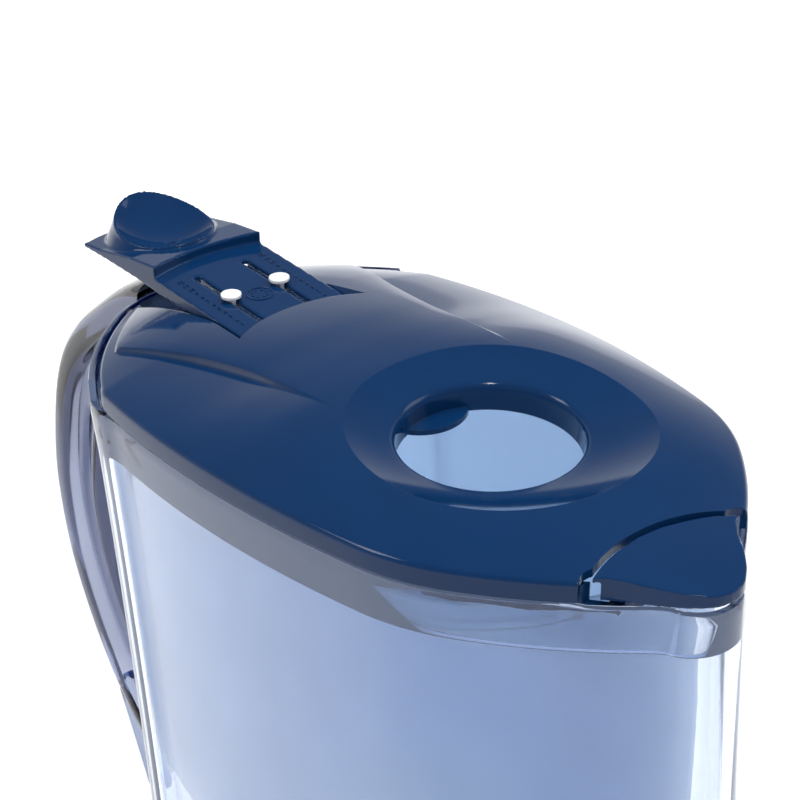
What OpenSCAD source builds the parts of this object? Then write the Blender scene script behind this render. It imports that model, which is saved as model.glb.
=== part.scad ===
// Water filter pitcher: clear jug with a D-handle, hopper with a drop-in
// cartridge, lift-off lid with a fill hole, a calendar tongue with two date
// sliders and a hinged spout flap.
// +X points to the spout, -X to the handle, +Z up; the origin is on the
// underside of the base, below the centre of the fill hole.

/* [Jug] */
// Height of the lid's edge above the table, at the fill hole
rim_h = 250; // [240:1:262]
// Wall thickness of the jug
jug_wall = 2.9; // [2.6:0.1:3.2]
// Thickness of the rim above the ledge that carries the hopper
rim_wall = 1.9; // [1.7:0.1:2.1]
// How far the foot stands forward of the rim
foot_shift = 16; // [12:1:17]
// How much narrower the foot is than the rim, on each side
foot_inset = 7.5; // [6:0.5:9]

/* [Handle] */
// Depth of the handle bar, outside face to finger side
grip_depth = 27; // [24:1:30]
// Width of the handle bar
grip_width = 22; // [19:1:25]

/* [Hopper and cartridge] */
// Height of the hopper floor above the table
hopper_floor = 105; // [102:1:110]
// Wall thickness of the hopper
hopper_wall = 1.6; // [1.4:0.1:1.8]
// Centre of the cartridge along the pitcher
cartridge_x = -24; // [-27:1:-21]
// Bore of the cartridge socket, as a radius
socket_r = 31; // [30:0.5:32]

/* [Lid] */
// Radius of the fill hole at its lip
hole_r = 22; // [20:0.5:23]
// Depth of the collar below the hole's lip
collar_h = 7; // [5:0.5:9]
// Thickness of the lid's skin
lid_wall = 2.2; // [2:0.1:2.6]
// Height of the visible side band
band_h = 5; // [4.5:0.1:5.2]

/* [Calendar tongue] */
// Half width of the tongue
tongue_hw = 16.3; // [15.5:0.1:16.4]
// Width of the thumb scoop
scoop_w = 23; // [20:0.5:24]
// Distance of a slot from the middle line
slot_y = 7.3; // [6.5:0.1:8]
// Width of a calendar slot
slot_w = 1.7; // [1.5:0.1:2]

/* [Spout flap] */
// Gap between the flap and the lid
flap_gap = 1.1; // [1:0.1:1.4]
// Radius of the hinge pin
pin_r = 1.0; // [0.8:0.1:1.1]

/* [Hidden] */
fit = 0.35;          // free gap between parts that lift apart
run = 0.05;          // radial clearance of a running fit
eps = 0.01;

// ---- the rim: an arc in side view, rising towards the spout ----
rim_r = 1969;        // radius of the arc
rim_cx = 260.4;      // centre of the arc
rim_cz = rim_h - sqrt(rim_r^2 - rim_cx^2);
function rim_z(x) = rim_cz + sqrt(rim_r^2 - (x - rim_cx)^2);

// ---- plan outline: round rear, two flanks, two long sides, two spout arcs, nose ----
rear_join = -132;    // rear arc to flank
flank_join = -92;    // flank to side
side_join = 28;      // side to spout arc, where the corner is
side_soft = 12;      // how far the corner is blended to each side
spout_join = 68;     // spout arc to the pulled-out beak
side_r = 320;
side_x = -37;
side_y = 265;
flank_r = 113;
flank_x = -45.7;
spout_r = 143;
spout_x = -37.7;
function arc_w(x, c, r) = sqrt(max(0, r^2 - (x - c)^2));
flank_y = arc_w(flank_join, flank_x, flank_r) - arc_w(flank_join, side_x, side_r) + side_y;
spout_y = arc_w(side_join, spout_x, spout_r) - arc_w(side_join, side_x, side_r) + side_y;
join_w = arc_w(rear_join, flank_x, flank_r) - flank_y;
rear_c = rear_join + (flank_x - rear_join) * join_w / (join_w + flank_y);
rear_r = join_w * flank_r / (join_w + flank_y);
back_x = rear_c - rear_r;

// The nose arc with the beak pulled out by b, from 0 to 1: centre, radius, angle of its ends
function nose_c(b) = 60.5 + 13.6 * b;
function nose_r(b) = 17.3 - 7.9 * b;
function nose_a(b) = 51.3 - 34.8 * b;
function hermite(u, p0, m0, p1, m1) =
    (2*u^3 - 3*u^2 + 1) * p0 + (u^3 - 2*u^2 + u) * m0 + (3*u^2 - 2*u^3) * p1 + (u^3 - u^2) * m1;

// Half width across the blended corner, from its start
function corner_w(t) =
    let (span = 2 * side_soft, a = side_join - side_soft, b = side_join + side_soft,
         wa = arc_w(a, side_x, side_r), wb = arc_w(b, spout_x, spout_r))
    hermite(t / span, wa - side_y, span * (side_x - a) / wa, wb - spout_y, span * (spout_x - b) / wb);

// Half width of the outline at x
function half_w(x, b = 0) =
    let (nose_x = nose_c(b) + nose_r(b) * sin(nose_a(b)), span = nose_x - spout_join,
         w = arc_w(spout_join, spout_x, spout_r))
    x < rear_join ? arc_w(x, rear_c, rear_r) :
    x < flank_join ? arc_w(x, flank_x, flank_r) - flank_y :
    x < side_join - side_soft ? arc_w(x, side_x, side_r) - side_y :
    x < side_join + side_soft ? corner_w(x - side_join + side_soft) :
    x < spout_join ? arc_w(x, spout_x, spout_r) - spout_y :
    x < nose_x ? hermite((x - spout_join) / span, w - spout_y, span * (spout_x - spout_join) / w,
                         nose_r(b) * cos(nose_a(b)), -span * tan(nose_a(b))) :
    arc_w(x, nose_c(b), nose_r(b));

// Half outline from the rear to the nose, as [x, half width]
rear_a = acos(join_w / rear_r);
side_stations = [-132, -119, -106, -92, -74, -54, -33, -12, 4, 16, 22, 28, 34, 40, 54, 68];
function half_outline(b) =
    let (nose_x = nose_c(b) + nose_r(b) * sin(nose_a(b)))
    concat([for (i = [0:3]) let (a = (90 - rear_a) * i / 4) [rear_c - rear_r * cos(a), rear_r * sin(a)]],
           [for (x = side_stations) [x, half_w(x, b)]],
           [for (u = [0.35, 0.7]) let (x = spout_join + (nose_x - spout_join) * u) [x, half_w(x, b)]],
           [for (i = [0:4]) let (a = (90 - nose_a(b)) * (1 - i / 4))
               [nose_c(b) + nose_r(b) * cos(a), nose_r(b) * sin(a)]]);

// Closed ring through a half outline whose two ends lie on the middle line
function closed(half) = concat(half, [for (i = [len(half) - 2:-1:1]) [half[i][0], -half[i][1]]]);

function unit(v) = v / norm(v);
// Ring with every point moved outwards; "more" adds to the distance behind the sides
function grown(ring, d, more = 0) =
    let (n = len(ring))
    [for (i = [0:n - 1])
        let (t = unit(ring[(i + 1) % n] - ring[(i + n - 1) % n]),
             far = d + more * smoothstep((-84 - ring[i][0]) / 18))
        ring[i] + far * [-t[1], t[0]]];
function smoothstep(u) = let (v = min(1, max(0, u))) v * v * (3 - 2 * v);

// Stations from a to b, closer together at both ends
function stations(a, b, n) = [for (i = [0:n]) (a + b) / 2 - (b - a) / 2 * cos(180 * i / n)];

// Smooth value between hand-placed stations [x, value]
function span_at(x, t, i = 0) = (i >= len(t) - 2 || x < t[i + 1][0]) ? i : span_at(x, t, i + 1);
function slope_at(t, i) =
    let (a = max(0, i - 1), b = min(len(t) - 1, i + 1))
    (t[b][1] - t[a][1]) / (t[b][0] - t[a][0]);
function smooth(x, t) =
    let (i = span_at(x, t), h = t[i + 1][0] - t[i][0], u = (x - t[i][0]) / h)
    hermite(u, t[i][1], slope_at(t, i) * h, t[i + 1][1], slope_at(t, i + 1) * h);

// Closed solid through rings of equal length, first ring at the bottom. Its ends are
// capped about a middle point (at x "mid" if given), or with "band" set, where each ring
// runs along a band and back, point to facing point
function cap_mid(r, mid) = is_undef(mid) ? (r[0] + r[floor(len(r) / 2)]) / 2 : [mid, 0, r[0][2]];
module loft(rings, band = false, mid = undef) {
    n = len(rings[0]);
    m = len(rings);
    k = (m - 1) * n;
    points = concat([for (r = rings) each r],
                    band ? [] : [cap_mid(rings[0], mid), cap_mid(rings[m - 1], mid)]);
    sides = [for (i = [0:m - 2], j = [0:n - 1])
        let (a = i * n + j, b = i * n + (j + 1) % n, c = a + n, d = b + n)
        each [[a, b, d], [a, d, c]]];
    caps = band ? [for (j = [0:n / 2 - 2]) let (a = j, b = j + 1, c = n - 2 - j, d = n - 1 - j)
                       each concat([[a, c, b]], [[a, d, c]], [[k + a, k + b, k + c]], [[k + a, k + c, k + d]])]
                : [for (j = [0:n - 1]) let (b = (j + 1) % n)
                       each [[m * n, b, j], [m * n + 1, k + j, k + b]]];
    polyhedron(points = points, faces = concat(sides, caps));
}

// Everything higher than "drop" below the rim, from one station to another
module above_rim(drop, from_x, to_x) {
    difference() {
        translate([from_x, -90, rim_h - 45]) cube([to_x - from_x, 180, 90]);
        translate([rim_cx, -91, rim_cz]) rotate([-90, 0, 0]) cylinder(r = rim_r - drop, h = 182, $fn = 720);
    }
}

// Side profile [x, z] extruded to a width about the middle line
module side_profile(points, width) {
    rotate([90, 0, 0]) translate([0, 0, -width / 2]) linear_extrude(width) polygon(points);
}

// ---- jug ----
rear_lip = 3.2;      // how far the rim stands outside the lid at the rear
lip_x = -102;       // where that rear lip rises outside the lid
rim_drop = band_h + 0.4;
ledge_drop = 17.9;   // the ledge under the hopper's collar, below the rim curve
floor_t = 3;

// Forward shift, inset and beak of the wall at fraction f of the height
function lean(f) = foot_shift * (1 - f^2);
function taper(f) = foot_inset * (1 - f);
function beak(f) = exp(-pow(max(0, 1 - f) / 0.14, 1.5));

// One ring of the jug's wall at fraction f of the height of the rim, or "drop" below that
function jug_ring(f, inset, drop = 0, low = 0) =
    let (g = f - drop / rim_h)
    [for (p = grown(closed(half_outline(beak(g))), -taper(g) - inset, rear_lip))
        [p[0] + lean(g), p[1], low + f * (rim_z(p[0]) - low) - drop]];

jug_levels = [0.2, 0.4, 0.58, 0.72, 0.84];
jug_outer = concat([jug_ring(0, 4), jug_ring(0.004, 1.6), jug_ring(0.014, 0)],
                   [for (f = jug_levels) jug_ring(f, 0)], [jug_ring(0.92, 0), jug_ring(1, 0)]);

module jug_outside() { loft(concat(jug_outer, [jug_ring(1, 0, -12)])); }

// One skin: up the outside, over the rim, down to the ledge and down the inside
module jug_wall_skin() {
    loft(concat(jug_outer,
                [jug_ring(1, rim_wall), jug_ring(1, rim_wall, ledge_drop), jug_ring(1, jug_wall, ledge_drop)],
                [for (i = [len(jug_levels) - 1:-1:0]) jug_ring(jug_levels[i], jug_wall)],
                [jug_ring(0.03, jug_wall), jug_ring(0.017, jug_wall + 1.5), jug_ring(0, jug_wall + 5, 0, floor_t)]));
}

// Block that fills the jug to halfway into its wall
module jug_room() {
    loft([jug_ring(0.012, jug_wall / 2), jug_ring(0.2, jug_wall / 2), jug_ring(0.42, jug_wall / 2)]);
}

rib_w = 9;
// Clear bracket below the handle, moulded with the jug
bracket_line = [[-96, 9], [-118, 10], [-138, 18], [-150, 28], [-158, 38.5], [-166.5, 54.5], [-175, 70],
                [-170, 80], [-150, 75], [-138, 62], [-124, 68], [-112, 84], [-96, 84]];

module jug_shell() {
    color("aliceblue")
    difference() {
        union() {
            jug_wall_skin();
            difference() {
                side_profile(bracket_line, rib_w);
                jug_room();
            }
        }
        above_rim(rim_drop, lip_x, 60);
        above_rim(rim_drop + 0.7, 60 - eps, 120);
        above_rim(0.2, -170, lip_x + eps);
    }
}

// ---- handle: a dog-bone section swept along a D ----
// Outer line of the handle, [x, z], from the rim down to the bracket
handle_line = [[-129, 232], [-140, 230], [-154, 222.6], [-168.6, 210.3], [-180, 199], [-188.6, 186.5],
               [-194, 171.5], [-196.8, 152], [-196.4, 136], [-192, 117.2], [-184, 100.5], [-172.5, 84.6],
               [-160, 74], [-148, 67]];

function bez(p, i, u) =
    let (a = p[max(0, i - 1)], b = p[i], c = p[i + 1], d = p[min(len(p) - 1, i + 2)])
    0.5 * (2 * b + (c - a) * u + (2*a - 5*b + 4*c - d) * u^2 + (3*b - a - 3*c + d) * u^3);
handle_path = [for (i = [0:len(handle_line) - 2], u = [0, 0.5]) bez(handle_line, i, u),
               handle_line[len(handle_line) - 1]];
handle_n = len(handle_path);

// Section across the bar: [distance in from the outer line, half width over the full width]
bar = [[0, 0], [0.5, 0.28], [2.2, 0.44], [5, 0.5], [8.5, 0.5], [10, 0.46], [10.8, 0.36],
       [14, 0.32], [grip_depth - 7, 0.32], [grip_depth - 6, 0.4], [grip_depth - 4, 0.44],
       [grip_depth - 1, 0.36], [grip_depth, 0.18]];
bar_ring = concat(bar, [for (i = [len(bar) - 1:-1:1]) [bar[i][0], -bar[i][1]]]);

function path_dir(i) = unit(handle_path[min(handle_n - 1, i + 1)] - handle_path[max(0, i - 1)]);
// The bar is shallower where it meets the rim and the bracket
function bar_depth(i) = min(1, 0.6 + 0.1 * i, 0.5 + 0.12 * (handle_n - 1 - i));

module handle_frame() {
    color([0.2, 0.26, 0.38, 0.85])
    difference() {
        loft([for (i = [0:handle_n - 1])
            let (p = handle_path[i], t = path_dir(i), n = [-t[1], t[0]])
            [for (b = bar_ring)
                [p[0] + n[0] * b[0] * bar_depth(i), -b[1] * grip_width, p[1] + n[1] * b[0] * bar_depth(i)]]]);
        jug_outside();
        side_profile(bracket_line, rib_w);
    }
}

// ---- hopper ----
collar_top = 10;     // top of the hopper, below the rim curve
collar_low = 17.5;   // underside of its collar
hop_join = 36;       // where its front leaves the jug's wall
hop_r = 70;          // front arcs
hop_x = -4.9;
hop_y = 15.9;
hop_nose = 56;       // where the front arcs meet the round front
hop_nose_w = arc_w(hop_nose, hop_x, hop_r) - hop_y;
hop_c = hop_nose - hop_nose_w * (hop_nose - hop_x) / (hop_nose_w + hop_y);
hop_front = hop_c + hop_nose_w * hop_r / (hop_nose_w + hop_y);

// Half outline of the hopper's collar, as an outline of the jug with a rounder front
hop_half = concat(
    [for (p = half_outline(0)) if (p[0] < hop_join) p],
    [for (x = [39, 46, 52]) [x + rim_wall, arc_w(x, hop_x, hop_r) - hop_y + rim_wall]],
    [for (i = [0:4]) let (a = 29.5 * (1 - i / 4), r = hop_front - hop_c + rim_wall)
        [hop_c + r * cos(a), r * sin(a)]]);

// Depth of the hopper's wall below its collar, as [fraction of the depth, how much narrower]
hop_depth = [[0, 0], [0.3, 0.1], [0.6, 0.3], [0.78, 1.3], [0.88, 3], [0.95, 5.5], [1, 9]];

// Ring of the hopper: inset, height, how far its top follows the rim, how much narrower.
// It leans and tapers as the jug's wall does, apart from its front
function hop_ring(inset, z, level = 1, narrow = 0) =
    let (f = z / rim_h, s = 1 - narrow / 50,
         outline = [for (p = closed(hop_half)) [cartridge_x + s * (p[0] - cartridge_x), s * p[1]]])
    [for (p = grown(outline, -inset - taper(f), rear_lip))
        [p[0] + lean(f) * (1 - smoothstep(p[0] / 60)), p[1], z + level * (rim_z(p[0]) - rim_h)]];

// Rings of the hopper's wall, from its floor up to its collar
function hop_wall(inset, lift) =
    [for (i = [len(hop_depth) - 1:-1:0])
        let (t = hop_depth[i][0], top = rim_h - collar_low, low = hopper_floor)
        hop_ring(jug_wall + fit + inset, top + t * (low - top) + lift, 1 - t, hop_depth[i][1])];

// The whole moulding: one skin up the outside, over the collar and down the inside
module hopper_skin() {
    wall = rim_wall + fit;
    inside = hop_wall(hopper_wall, hopper_wall);
    difference() {
        loft(concat(hop_wall(0, 0),
                    [hop_ring(wall, rim_h - collar_low), hop_ring(wall, rim_h - collar_top),
                     hop_ring(wall + hopper_wall, rim_h - collar_top),
                     hop_ring(wall + hopper_wall, rim_h - collar_low + hopper_wall)],
                    [for (i = [len(inside) - 1:-1:0]) inside[i]]), mid = cartridge_x);
        translate([cartridge_x, 0, hopper_floor - 24]) cylinder(r = socket_r, h = 40, $fn = 96);
    }
}

// Its wall and its floor pan are told apart here, so that each keeps a simple form
pan_top = hopper_floor + 8;
module below_pan_top() { translate([-150, -90, pan_top - 60]) cube([250, 180, 60]); }

module hopper() {
    color([0.6, 0.75, 0.92, 0.5])
    difference() {
        hopper_skin();
        below_pan_top();
    }
}

module hopper_pan() {
    color([0.6, 0.75, 0.92, 0.5])
    intersection() {
        hopper_skin();
        below_pan_top();
    }
}

// Socket welded under the hopper's floor, with a shelf for the cartridge's shoulder
module hopper_socket() {
    color([0.6, 0.75, 0.92, 0.5])
    translate([cartridge_x, 0, hopper_floor - 26])
        rotate_extrude($fn = 96)
            polygon([[socket_r - 2.4, 0], [socket_r + 2.2, 0], [socket_r + 2.2, 26], [socket_r, 26], [socket_r, 2],
                     [socket_r - 2.4, 2]]);
}

// ---- cartridge, turned about the socket's axis ----
shelf_z = hopper_floor - 24;     // where its shoulder rests
body_low = 31;
shoulder_r = socket_r - 0.8;

// Turned solid from a profile of [radius, height]
module turned(profile) {
    translate([cartridge_x, 0, 0]) rotate_extrude($fn = 96) polygon(profile);
}

module cartridge_body() {
    color("white")
    turned([[23.4, body_low], [25, body_low], [27.2, shelf_z], [27.8, shelf_z + fit], [shoulder_r, shelf_z + fit],
            [shoulder_r, shelf_z + 4], [28.6, shelf_z + 4], [28.6, shelf_z + 8], [shoulder_r, shelf_z + 8],
            [shoulder_r, shelf_z + 10], [29.4, shelf_z + 11.5], [29.4, hopper_floor + 3], [27.6, hopper_floor + 3],
            [27, shelf_z + 10], [25.5, shelf_z], [23.5, body_low + 4]]);
}

module cartridge_seal() {
    color("dimgray")
    turned([[28.6, shelf_z + 4], [shoulder_r, shelf_z + 4.3], [socket_r - run, shelf_z + 5.2],
            [socket_r - run, shelf_z + 6], [shoulder_r, shelf_z + 7.6], [28.6, shelf_z + 8]]);
}

cap_z = hopper_floor + 3;
cap_h = 22;
module cartridge_cap() {
    color("white")
    difference() {
        turned([[0, cap_z + cap_h + 3], [8, cap_z + cap_h + 3], [20, cap_z + cap_h], [26, cap_z + cap_h - 5],
                [29, cap_z + cap_h - 12], [29.4, cap_z], [27.6, cap_z], [27.2, cap_z + cap_h - 12.4],
                [24.6, cap_z + cap_h - 6.4], [19.4, cap_z + cap_h - 2], [7.8, cap_z + cap_h + 1],
                [0, cap_z + cap_h + 1]]);
        for (a = [0:15:345])
            translate([cartridge_x, 0, cap_z + 3.5]) rotate([0, 0, a + 7.5])
                translate([18, -0.9, 0]) cube([14, 1.8, cap_h - 9]);
        for (a = [0:30:330])
            translate([cartridge_x, 0, cap_z + cap_h - 4]) rotate([0, 0, a + 15])
                translate([14, 0, 0]) cylinder(r = 1.4, h = 10, $fn = 20);
    }
}

pull_r = 10;
module cartridge_pull() {
    color("white")
    translate([cartridge_x, 0, cap_z + cap_h + 4.5]) {
        rotate([90, 0, 0]) rotate_extrude(angle = 180, $fn = 64) translate([pull_r, 0]) circle(r = 1.8, $fn = 24);
        for (s = [-1, 1])
            translate([s * pull_r, 0, -2]) cylinder(r = 1.8, h = 2 + eps, $fn = 24);
    }
}

module cartridge_foot() {
    color("white")
    difference() {
        turned([[0, body_low - 4], [22.5, body_low - 4], [25, body_low - 1.5], [25, body_low], [23.4, body_low],
                [22, body_low - 2], [0, body_low - 2]]);
        for (r = [5, 11, 17], k = [0:r == 5 ? 5 : r == 11 ? 11 : 17])
            translate([cartridge_x, 0, body_low - 5]) rotate([0, 0, k * 360 / (r == 5 ? 6 : r == 11 ? 12 : 18)])
                translate([r, 0, 0]) cylinder(r = 1.2, h = 6, $fn = 20);
    }
}

// Thin felt screens that hold the granules
module screen(z, r) {
    translate([cartridge_x, 0, z]) cylinder(r = r, h = 1, $fn = 64);
}
module upper_screen() { color("gainsboro") screen(hopper_floor - 2, 26.9); }
module lower_screen() { color("gainsboro") screen(body_low, 23); }

// Granule fill in two layers
bed_mid = 66;
module resin_bed() {
    color("peru")
    turned([[0, body_low + 1], [23, body_low + 1], [23.2, body_low + 6], [24.6, bed_mid], [0, bed_mid]]);
}
module carbon_bed() {
    color([0.12, 0.12, 0.13])
    turned([[0, bed_mid + eps], [24.6, bed_mid + eps], [25.3, shelf_z], [26.7, shelf_z + 10],
            [26.9, hopper_floor - 2], [0, hopper_floor - 2]]);
}

// ---- lid ----
// Height of the dome's middle line above the rim curve, [x, height]
dome_line = [[-140, 0], [-131, 0.9], [-118, 3.4], [-105, 4.9], [-90, 5.6], [-75, 6.3], [-60, 7.4], [-45, 9.4],
             [-30, 10.9], [-12, 10.3], [8, 8.4], [38, 5.4], [57, 2.2], [70, 1]];
// Height of the raised panel above the dome on the middle line, [x, height]
step_line = [[-140, 1.6], [-131, 2], [-118, 2.4], [-105, 2.9], [-90, 3.7], [-76, 4.3], [-62, 4.1],
             [-46, 2.2], [-32, 0.4], [-24, 0], [-10, 0], [70, 0]];
// Half width of the raised panel, [x, half width]
panel_line = [[-140, 42], [-131, 40], [-112, 37], [-92, 32.5], [-79, 29.5], [-61, 27], [-46, 26.4],
              [-28, 25.5], [0, 25], [70, 25]];
dish_sphere = 90;    // the dished ring is part of a sphere that meets the hole's lip
lip_z = rim_h + dish_sphere - sqrt(dish_sphere^2 - hole_r^2);

function dome_h(x, y, w) = smooth(x, dome_line) * (1 - (min(abs(y), w) / w)^3);
// The panel is crowned: its step is half as high as its middle
function step_h(x, y, p) = max(0, smooth(x, step_line)) * (1 - 0.5 * min(1, y / p)^2);

// Half width of the raised panel at x, kept inside the half width w
function panel_w(x, w) = min(smooth(x, panel_line), max(w - 5, w * 0.5));

// Half of one cross section of the lid's top, from the edge inwards, [y, height]
function half_section(x, w) =
    let (p = panel_w(x, w), g = w - p)
    [for (q = [[w, 0], [w - 0.03 * g, 0], [w - 0.14 * g, 0], [w - 0.38 * g, 0], [w - 0.7 * g, 0],
               [p + min(0.9, 0.15 * g), 0], [p - min(0.5, 0.15 * p), 1], [p * 0.62, 1], [p * 0.3, 1]])
        [q[0], dome_h(x, q[0], w) + q[1] * step_h(x, q[0], p)]];

// Height of the lid's underside: one wall under its top, and under the dish round the hole
function under(x, y, w) =
    let (p = panel_w(x, w), d = x^2 + y^2,
         top = rim_z(x) + dome_h(x, y, w) + step_h(x, y, p) * min(1, max(0, (p + 0.9 - y) / 1.4)))
    min(top, d < 50^2 ? rim_h + dish_sphere - sqrt(dish_sphere^2 - d) : top) - lid_wall;

// Half of the inside of a section, from its edge inwards: the wall, the underside and
// the block that the tongue's pocket is cut from
pocket_block = tongue_hw + 2.1;
block_end = -77;
function half_inside(x, w) =
    let (e = max(w - lid_wall, w * 0.6), base = rim_z(x) - band_h + 0.3, solid = x < back_x + 3,
         b = min(pocket_block, e * 0.8))
    concat([for (t = [0, 0.2, 0.4, 0.6, 0.8, 1])
               let (y = e + (b - e) * t) [y, solid ? base : under(x, y, w)]],
           [for (y = [b - 0.05, b * 0.6, b * 0.25]) [y, solid || x < block_end ? base : under(x, y, w)]]);

// Full section of the shell at x, once round its outside and back along its inside
function lid_section(x, w) =
    let (out = half_section(x, w), in = half_inside(x, w), k = len(out), z = rim_z(x))
    concat([[x, -w, z - band_h]],
           [for (q = out) [x, -q[0], z + q[1]]],
           [[x, 0, z + dome_h(x, 0, w) + step_h(x, 0, 1)]],
           [for (i = [k - 1:-1:0]) [x, out[i][0], z + out[i][1]]],
           [[x, w, z - band_h], [x, in[0][0], z - band_h]],
           [for (q = in) [x, q[0], q[1]]],
           [[x, 0, in[k - 1][1]]],
           [for (i = [k - 1:-1:0]) [x, -in[i][0], in[i][1]]],
           [[x, -in[0][0], z - band_h]]);

lid_x = [back_x + 0.2, back_x + 0.9, back_x + 2.2, back_x + 2.99, back_x + 3.01, back_x + 5, -132 + 3,
         -124, -118, -111, -104, -98, -92, -87, -82, block_end - 0.01, block_end + 0.01, -72, -66, -60, -54,
         -48, -42, -36, -30, -24, -16, -6, 5, 16, 22, 28, 34, 40, 50, 60, 66];

module lid_body() { loft([for (x = lid_x) lid_section(x, half_w(x))], band = true); }

// Pocket for the tongue: open to the rear, with side walls that flare upwards, and a
// round front wall under the crest
crest_c = -48.9;
crest_r = 34;
pocket_hw = tongue_hw + fit;
module tongue_pocket(grow = 0) {
    difference() {
        translate([-160, 0, rim_h]) rotate([90, 0, 90])
            linear_extrude(100)
                polygon([[-pocket_hw - grow, -50], [pocket_hw + grow, -50], [pocket_hw + grow, -6.3],
                         [pocket_hw + grow + 6, 3.4], [-pocket_hw - grow - 6, 3.4], [-pocket_hw - grow, -6.3]]);
        translate([crest_c, 0, rim_h - 60]) cylinder(r = crest_r - grow, h = 90, $fn = 120);
    }
}

// Notch for the flap: concentric with its rear edge, with a round relief at each corner
flap_c = 96.6;
flap_rear_r = 39.5;
relief = [64.8, 20];
module flap_notch() {
    translate([flap_c, 0, rim_h - 20]) cylinder(r = flap_rear_r + flap_gap, h = 50, $fn = 120);
    for (s = [-1, 1])
        translate([relief[0], s * relief[1], rim_h - 20]) cylinder(r = 4.6, h = 50, $fn = 48);
}

// Place children about the fill hole, the sphere's centre at the origin
module dish(grow) {
    translate([0, 0, rim_h + dish_sphere]) sphere(r = dish_sphere + grow, $fn = 160);
}

lip_t = 1.6;
module collar() {
    translate([0, 0, lip_z - collar_h])
        rotate_extrude($fn = 96)
            polygon([[hole_r, 0], [hole_r + lip_t, 0], [hole_r + lip_t, collar_h + 0.6], [hole_r + 0.5, collar_h - 0.1],
                     [hole_r + 0.1, collar_h - 0.4], [hole_r, collar_h - 0.9]]);
    // splash lip at the rear of the collar
    translate([0, 0, lip_z - collar_h])
        intersection() {
            cylinder(r = hole_r + 0.8, h = 1.4, $fn = 96);
            translate([-28, 0, -1]) cylinder(r = 12, h = 4, $fn = 96);
        }
}

module lid_shell() {
    color("midnightblue")
    difference() {
        union() {
            difference() {
                lid_body();
                translate([0, 0, rim_h - 10]) cylinder(r = hole_r + 0.2, h = 40, $fn = 96);
                dish(0);
            }
            collar();
        }
        tongue_pocket();
        flap_notch();
    }
}

// ---- inner frame of the lid: skirt ring that centres it in the jug, and the flap's hinge posts ----
seat_inset = rim_wall + 0.7;
seat_t = 1.6;
seat_low = 9.5;
hinge = [64.8, 254.8];
post_y = [11.6, 14.2];
lug_r = 1.9;

function seat_ring(inset, drop) =
    [for (p = grown(closed(half_outline(0)), -inset)) [p[0], p[1], rim_z(p[0]) - drop]];

module lid_seat() {
    color("midnightblue")
    difference() {
        union() {
            difference() {
                loft([seat_ring(seat_inset, seat_low), seat_ring(seat_inset, 2)]);
                loft([seat_ring(seat_inset + seat_t, seat_low + 1), seat_ring(seat_inset + seat_t, -1)]);
                translate([60.5, -40, hinge[1] - 4.5]) cube([60, 80, 30]);
                translate([hinge[0] + 1.5, -40, rim_h - 10]) cube([60, 80, 30]);
                translate([-160, -pocket_block, rim_h - 60]) cube([60, 2 * pocket_block, 60]);
            }
            translate([hinge[0] - 1.5, -15.8, hinge[1] - 7]) cube([3, 31.6, 2.5]);
            for (s = [-1, 1])
                translate([hinge[0], s * (post_y[0] + post_y[1]) / 2, hinge[1]]) {
                    rotate([90, 0, 0]) cylinder(r = lug_r, h = post_y[1] - post_y[0], center = true, $fn = 48);
                    translate([-lug_r, -(post_y[1] - post_y[0]) / 2, -5])
                        cube([2 * lug_r, post_y[1] - post_y[0], 5]);
                }
        }
        translate([hinge[0], 0, hinge[1]]) rotate([90, 0, 0])
            cylinder(r = pin_r + run, h = 60, center = true, $fn = 48);
    }
}

// ---- calendar tongue ----
plate_x = -82;       // front end of the calendar plate
plate_z = rim_h - 4.8;
plate_tilt = 3.97;   // it rises towards the spout
plate_t = 1.6;
slot_span = [-34.1, -2.5];
step_r = 45;         // the block ends in a round step towards the plate
step_x = 2.5;
module on_plate(x = 0, y = 0) {
    translate([plate_x, 0, plate_z]) rotate([0, -plate_tilt, 0]) translate([x, y, 0]) children();
}

// Outer side profile of the tongue relative to the rim height, [x, z]
tongue_top = [[-79.5, -4.6], [-82, -4.2], [-100, -4.2], [-121.4, -4.2], [-133.6, -7], [-149.4, -11.9], [-161.5, -14.6]];
tongue_under = [[-161.5, -15.2], [-146.4, -13.4], [-129.7, -11.8], [-119.3, -11.4], [-110.9, -10.4], [-103, -9.4],
                [-95, -9.4], [-82, -8], [-79.5, -7.6]];
function raised(points, dz) = [for (p = points) [p[0], rim_h + p[1] + dz]];

// Thumb scoop: a flared oval pedestal hollowed by a sphere
scoop_x = -143;
scoop_l = 30.4;
scoop_sphere = 20.6;
scoop_deep = 10.9;       // lowest point of the hollow, below the rim height
// Ring of the pedestal: centre, half length, half width, height and slope
function scoop_ring(c, a, b, z, slope) =
    [for (i = [0:47]) let (t = -7.5 * i) [c + a * cos(t), b * sin(t), rim_h + z + slope * a * cos(t)]];
module scoop_pedestal() {
    loft([scoop_ring(scoop_x - 1.2, scoop_l / 2 + 2.4, scoop_w / 2 + 3.4, -11, 0.26),
          scoop_ring(scoop_x - 0.7, scoop_l / 2 + 1, scoop_w / 2 + 1.2, -7.6, 0.08),
          scoop_ring(scoop_x, scoop_l / 2, scoop_w / 2, -1.5, 0)]);
}

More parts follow.
